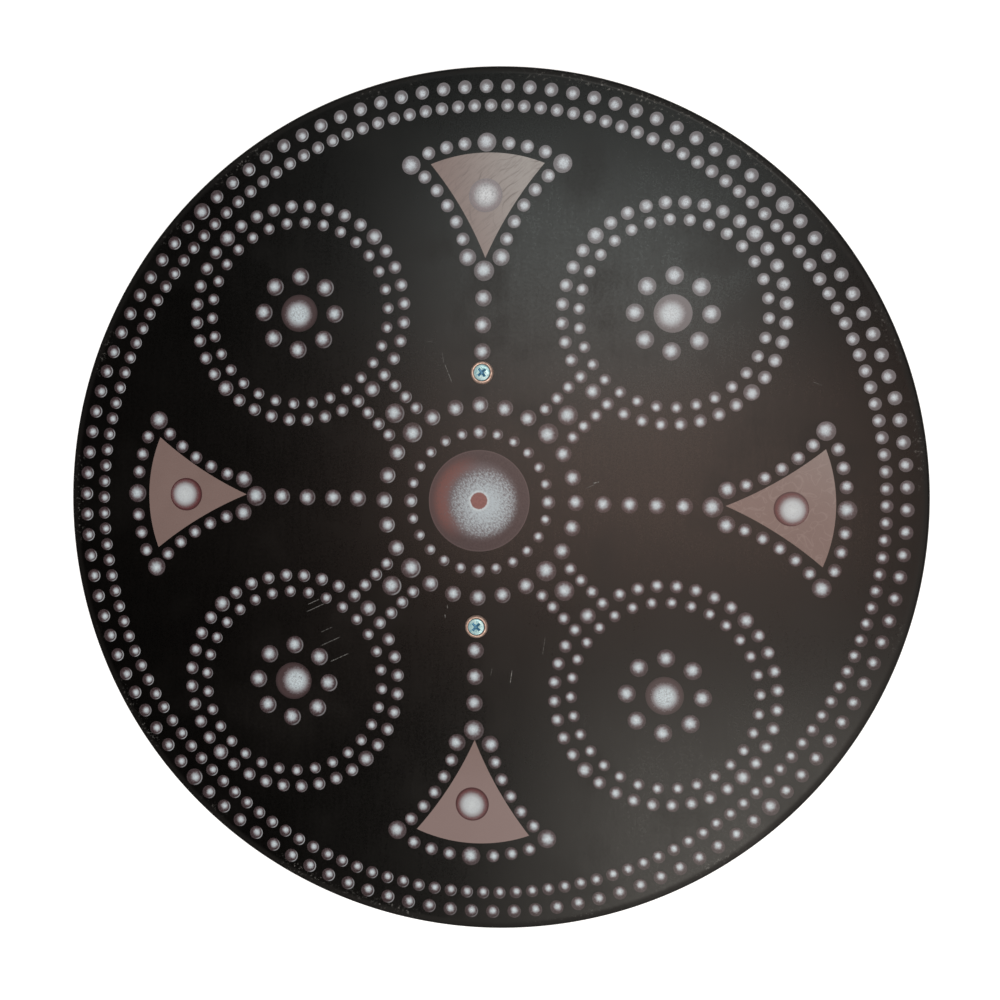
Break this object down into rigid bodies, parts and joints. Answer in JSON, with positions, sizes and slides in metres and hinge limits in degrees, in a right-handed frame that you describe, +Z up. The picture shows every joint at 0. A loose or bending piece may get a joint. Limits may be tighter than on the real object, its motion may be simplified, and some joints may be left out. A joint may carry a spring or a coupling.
{
  "type": "wooden round shield",
  "caption": "Flat round wooden shield painted satin black, with a printed pattern of domed nails, wedges and a central boss, and a wooden hand grip screwed to its back.",
  "frame": {"origin": "on the surface that the shield lies on, under the middle of the board", "axes": "+Z straight up out of the painted face, +Y towards the top of the design and along the grip, +X to the right of the design"},
  "size_m": [0.432, 0.432, 0.0553],
  "materials": {
    "board": "satin black paint over a smooth wooden board, printed with mauve-grey nails and taupe wedges",
    "grip": "plain oiled hardwood",
    "screw": "bright zinc plate with a blue-green tint",
    "cup": "copper-coloured plate, slightly dulled"
  },
  "bodies": {
    "root": {"board": "board", "grip": "grip", "screw_top": "screw", "screw_bottom": "screw", "cup_top": "cup", "cup_bottom": "cup"}
  },
  "joints": []
}
